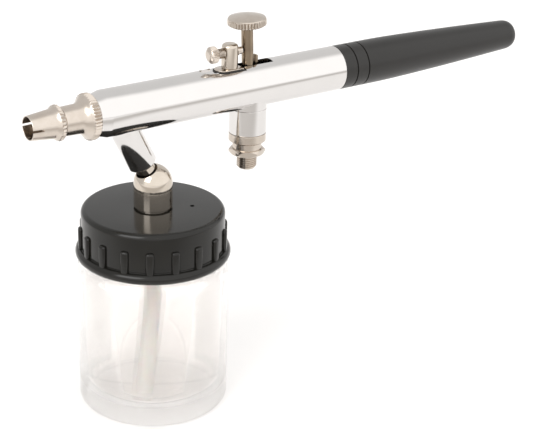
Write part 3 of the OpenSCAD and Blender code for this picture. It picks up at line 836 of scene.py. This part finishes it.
# The black strip is painted shade: it stands for the shadow in the gap under the plate.
shadow_gap_strip = tongue("painted_shadow_gap_strip", 2.5, 17.05, flat_z + 0.01, leaf_foot)
finish_piece(shadow_gap_strip, "gun", black_rubber, None)
leaf = tongue("limiter_plate", 2.15, 17.4, leaf_foot, leaf_foot + 0.37)
soften(leaf, 0.12, 40, 2)
finish_piece(leaf, "gun", nickel_z, "saddle_plate")

# %% Limiter post
post_low, post_high = span("limiter_post")
post_x = (post_low[0] + post_high[0]) / 2
post_top = post_high[2]
post = spun("limiter_post", [(0, post_low[2]), (1.9, post_low[2]), (2, post_low[2] + 0.1)] +
            arc(1.1, post_top - 0.9, 0.9, 0, 90, 8) + [(0, post_top)], 96)
screw_z = 86.1
combine(post, rod(1.25, (-4, 0, screw_z), (4, 0, screw_z), 48))
soften(post, 0.08, 45, 2)
finish_piece(post, "gun", bright_nickel, "limiter_post", ((0, 0, 0), (post_x, 0, 0)))

# %% Limiter screw
head_ridges = 28
ALONG_SCREW = ((0, pi / 2, 0), (0, 0, screw_z))
screw_outline = [(0, 15.1), (0.7, 15.14), (1.2, 15.25), (1.6, 15.5), (1.72, 15.62), (2.05, 15.95)]
screw_outline += [(2.05, 17.1), (1.8, 17.38), (1.1, 17.4), (1.1, 23.6), (0.9, 23.8), (0.9, 24.65)]
screw_outline += [(0.8, 24.75), (0, 24.75)]
screw = spun("limiter_screw", screw_outline, 4 * head_ridges)
knurl(screw, head_ridges, 15.9, 17.2, 2.05, 0.26)
finish_piece(screw, "limiter_screw", nickel_x, "limiter_screw", ALONG_SCREW, 28)
screw_ridge = thread("limiter_thread", 1.2, 0.95, 17.6, 23.4, 0.35)
# The thread's darker nickel is painted shade.
finish_piece(screw_ridge, "limiter_screw", nickel_painted_shade, None, ALONG_SCREW, 28)

# %% [markdown]
# ## The back lever
#
# Behind the trigger a thin lever stands in the slot. The trigger pushes it back, and it draws the
# needle. Only its rounded tip shows.

# %% Back lever
lever_x, lever_z = 36.2, 79.0
hinge_end = arc(lever_x, lever_z, 1.05, -90, 90, 12)
tip = arc(28.9, 84, 0.4, 0, 180, 12)
lever_outline = [(28.5, 79.5), (31, 78.4)] + hinge_end + [(31.4, 80.15), (29.7, 80.2), (29.3, 82)] + tip
lever = plate("back_lever", lever_outline + [(28.5, 79.5)], -0.55, 0.55)
combine(lever, rod(0.55, (lever_x, -2, lever_z), (lever_x, 2, lever_z), 32))
soften(lever, 0.1, 40, 2)
# The lever's darker nickel is painted shade, as it stands in the slot.
finish_piece(lever, "back_lever", nickel_painted_shade, "back_lever")

# %% [markdown]
# ## The handle
#
# The handle is one moulded piece with two fine grooves near its front. It is straight at first, then
# narrows in a slow curve to a rounded tail. It is hollow, since the needle's end lies in it.

# %% Spin the handle
handle_low, handle_high = span("handle")
front_x, end_x = handle_low[0], handle_high[0]
r0, r1 = body_r - 0.05, 3.9
outline = [(4.75, front_x), (r0 - 0.12, front_x), (r0, front_x + 0.12)]
for groove_x in (56.4, 60.0):
    outline += [(r0, groove_x), (r0 - 0.08, groove_x + 0.04), (r0 - 0.3, groove_x + 0.08),
                (r0 - 0.3, groove_x + 0.3), (r0 - 0.08, groove_x + 0.34), (r0, groove_x + 0.38)]
taper_x, tip_len = 66.0, 2.8
taper_len = end_x - tip_len - taper_x
taper_steps = 12
for i in range(taper_steps + 1):
    share = i / taper_steps
    outline.append((r0 - (r0 - r1) * share ** 1.35, taper_x + taper_len * share))
for a in range(10, 91, 10):
    outline.append((r1 - 1.4 * (1 - cos(radians(a))), end_x - tip_len * (1 - sin(radians(a)))))
outline += [(0, end_x), (0, 105), (3, 105), (3, 82), (4.15, 80), (4.15, 57.3), (4.75, 57.2)]
outline += [(4.75, front_x)]
handle = spun("tapered_handle", outline, 128)
finish_piece(handle, "handle", handle_black, "handle", ALONG_GUN)

# %% [markdown]
# ## The parts inside
#
# The rest of the gun is inside, or shows only through the jar, the nozzle and the slot. These CAD
# nodes are already the right shape, so they only get their finishes.

# %% Finish the inner nodes
inner_finishes = {
    "cap_liner": liner_foam, "ball_seat": white_seal, "socket_nut": nickel_z, "packing_ring": white_seal,
    "packing_screw": turned_brass, "nozzle_seal": white_seal, "fluid_nozzle": turned_brass,
    "valve_spring": ground_steel, "valve_seal": black_rubber, "valve_plunger": nickel_z,
    "needle": ground_steel, "needle_guide": nickel_x, "chuck_nut": nickel_x, "lever_pin": ground_steel,
    "needle_spring": ground_steel, "spring_case": nickel_x}
for node_name, finish in inner_finishes.items():
    node_object = frame["nodes"][node_name]
    node_object.data.materials.clear()
    node_object.data.materials.append(finish)
print("finished", len(inner_finishes), "inner nodes")

# %% [markdown]
# ## Floor and light
#
# The airbrush stands on a plain white table in a white tent. The tent is the world: bright in front
# and a little greyer behind, which is what draws the soft bands along the chrome. A strip of painted
# shade lies on the table in front of the airbrush, out of the camera's sight: the table is painted
# greyer there for the chrome to mirror. One large soft lamp on the left gives the round parts a direction.

# %% Floor
bpy.ops.object.select_all(action="DESELECT")
bpy.ops.mesh.primitive_plane_add(size=8, location=(0, 0, 0))
floor = bpy.context.object
floor.name = "white_table"
table_finish_with_painted_shade, tree, shader = new_finish("white_table_with_painted_shade")
shader.inputs["Roughness"].default_value = 0.9
shader.inputs["Specular IOR Level"].default_value = 0.2
place = add_node(tree, "ShaderNodeTexCoord")
# The grey band is painted shade on the table, which the chrome mirrors.
front_way = Vector((back.x, back.y, 0)).normalized()
ahead = add_node(tree, "ShaderNodeVectorMath", {0: place.outputs["Object"], 1: front_way},
                 operation="DOT_PRODUCT")
fall = add_node(tree, "ShaderNodeMapRange", {"Value": ahead.outputs["Value"], "From Min": 0.05,
                                             "From Max": 0.15}, interpolation_type="SMOOTHSTEP")
rise = add_node(tree, "ShaderNodeMapRange", {"Value": ahead.outputs["Value"], "From Min": 0.45,
                                             "From Max": 0.18}, interpolation_type="SMOOTHSTEP")
painted_shade_band = add_node(tree, "ShaderNodeMath", {0: fall.outputs["Result"], 1: rise.outputs["Result"]},
                operation="MULTIPLY")
mottle = add_node(tree, "ShaderNodeTexNoise",
                  {"Vector": place.outputs["Object"], "Scale": cells(33.33), "Detail": 3})
near = add_node(tree, "ShaderNodeMix", {0: mottle.outputs["Fac"], 6: colour("#f8f7f6"), 7: colour("#faf9f8")},
                data_type="RGBA")
tone = add_node(tree, "ShaderNodeMix", {0: painted_shade_band.outputs["Value"], 6: near.outputs[2], 7: colour("#c8c5c2")},
                data_type="RGBA")
tree.links.new(tone.outputs[2], shader.inputs["Base Color"])
floor.data.materials.append(table_finish_with_painted_shade)

# %% World
world = bpy.data.worlds.new("white_tent")
bpy.context.scene.world = world
world.use_nodes = True
tree = world.node_tree
sky = tree.nodes["Background"]
place = add_node(tree, "ShaderNodeTexCoord")
parts = add_node(tree, "ShaderNodeSeparateXYZ", {"Vector": place.outputs["Generated"]})
frontness = add_node(tree, "ShaderNodeMapRange",
                     {"Value": parts.outputs["Y"], "From Min": 0.15, "From Max": -0.25},
                     interpolation_type="SMOOTHSTEP")
tent_behind, tent_before = (0.88, 0.875, 0.87, 1), (1.5, 1.49, 1.48, 1)
tone = add_node(tree, "ShaderNodeMix", {0: frontness.outputs["Result"], 6: tent_behind, 7: tent_before},
                data_type="RGBA", clamp_result=False)
tree.links.new(tone.outputs[2], sky.inputs["Color"])
sky.inputs["Strength"].default_value = 1.0
bpy.context.scene.view_settings.view_transform = "Standard"


# %% Lamps
def soft_lamp(name, place, aim_at, size, power):
    """A square area lamp that looks at a point."""
    data = bpy.data.lights.new(name, "AREA")
    data.shape = "SQUARE"
    data.size = size
    data.energy = power
    lamp = bpy.data.objects.new(name, data)
    bpy.context.scene.collection.objects.link(lamp)
    lamp.location = place
    lamp.rotation_euler = (Vector(aim_at) - Vector(place)).to_track_quat("-Z", "Y").to_euler()
    print(name, "gives", power, "W")


soft_lamp("left_window", (-0.9, -0.35, 0.75), (0.02, 0, 0.05), 0.7, 5)
